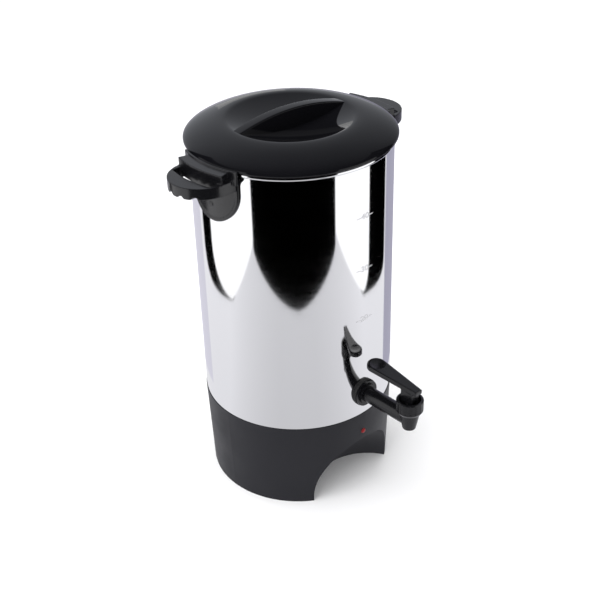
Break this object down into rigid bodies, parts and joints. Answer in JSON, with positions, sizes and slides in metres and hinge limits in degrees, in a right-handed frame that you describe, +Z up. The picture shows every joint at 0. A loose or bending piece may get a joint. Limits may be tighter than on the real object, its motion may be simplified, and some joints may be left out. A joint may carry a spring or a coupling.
{
  "type": "coffee urn",
  "caption": "Percolating coffee urn: polished steel body on a black base with a cup hollow, domed lid, two side handles and a lever tap.",
  "frame": {"origin": "on the urn's axis in the plane of the base's foot, which is the surface it stands on", "axes": "+Z up along the urn's axis; -Y towards the tap; the side handles lie on the X axis; the mains inlet faces +Y"},
  "size_m": [0.314, 0.3086, 0.4513],
  "materials": {
    "polished_steel": "bright polished stainless steel",
    "plain_steel": "plain rolled stainless steel",
    "black_base": "satin moulded plastic with a fine grain",
    "black_lid": "glossy moulded plastic",
    "black_handle": "satin moulded plastic",
    "black_tap": "half gloss moulded plastic",
    "silicone": "matt silicone",
    "pad_rubber": "matt rubber",
    "aluminium_sheet": "bright drawn aluminium",
    "control_case": "plain phenolic plastic",
    "ceramic": "glazed ceramic",
    "red_lens": "clear red plastic",
    "pin_brass": "plain brass"
  },
  "bodies": {
    "root": {"tank_shell": "polished_steel", "tank_floor": "plain_steel", "base_nuts": "plain_steel", "base_housing": "black_base", "bottom_cover": "black_base", "foot_pads": "pad_rubber", "cover_screws": "plain_steel", "handle_right": "black_handle", "handle_left": "black_handle", "handle_screws": "plain_steel", "tap_body": "black_tap", "tap_gasket": "silicone", "tap_washer": "silicone", "tap_nut": "black_tap", "tap_collar": "black_tap", "tap_spring": "plain_steel", "coffee_basket": "aluminium_sheet", "water_spreader": "aluminium_sheet", "pump_tube": "aluminium_sheet", "pump_foot": "aluminium_sheet", "heat_spreader": "aluminium_sheet", "heating_element": "plain_steel", "brew_thermostat": "control_case", "thermal_cutout": "control_case", "terminal_block": "ceramic", "pilot_lens": "red_lens", "pilot_lamp": "control_case", "power_inlet": "black_base", "inlet_pins": "pin_brass", "inlet_screws": "plain_steel"},
    "lid": {"lid_shell": "black_lid", "lid_liner": "plain_steel", "liner_screws": "plain_steel"},
    "stem": {"tap_stem": "black_tap", "tap_seat_cup": "silicone", "tap_pin": "plain_steel"},
    "lever": {"tap_lever": "black_tap"}
  },
  "joints": [
    {"name": "lid_lift", "type": "slide", "parent": "root", "child": "lid", "axis": [0, 0, 1], "range_m": [0, 0.15]},
    {"name": "lever_press", "type": "hinge", "parent": "root", "child": "lever", "pos_m": [0, -0.1725, 0.1625], "axis": [-1, 0, 0], "range_deg": [0, 20], "stiffness_Nm_per_rad": 0.3, "springref_deg": -5.73, "deforming": ["tap_spring"]},
    {"name": "stem_pivot", "type": "hinge", "parent": "lever", "child": "stem", "pos_m": [0, -0.179, 0.1613], "axis": [1, 0, 0], "range_deg": [0, 20.5]}
  ],
  "couplings": [
    {"joint": "stem_pivot", "follows": "lever_press", "ratio": 1}
  ]
}
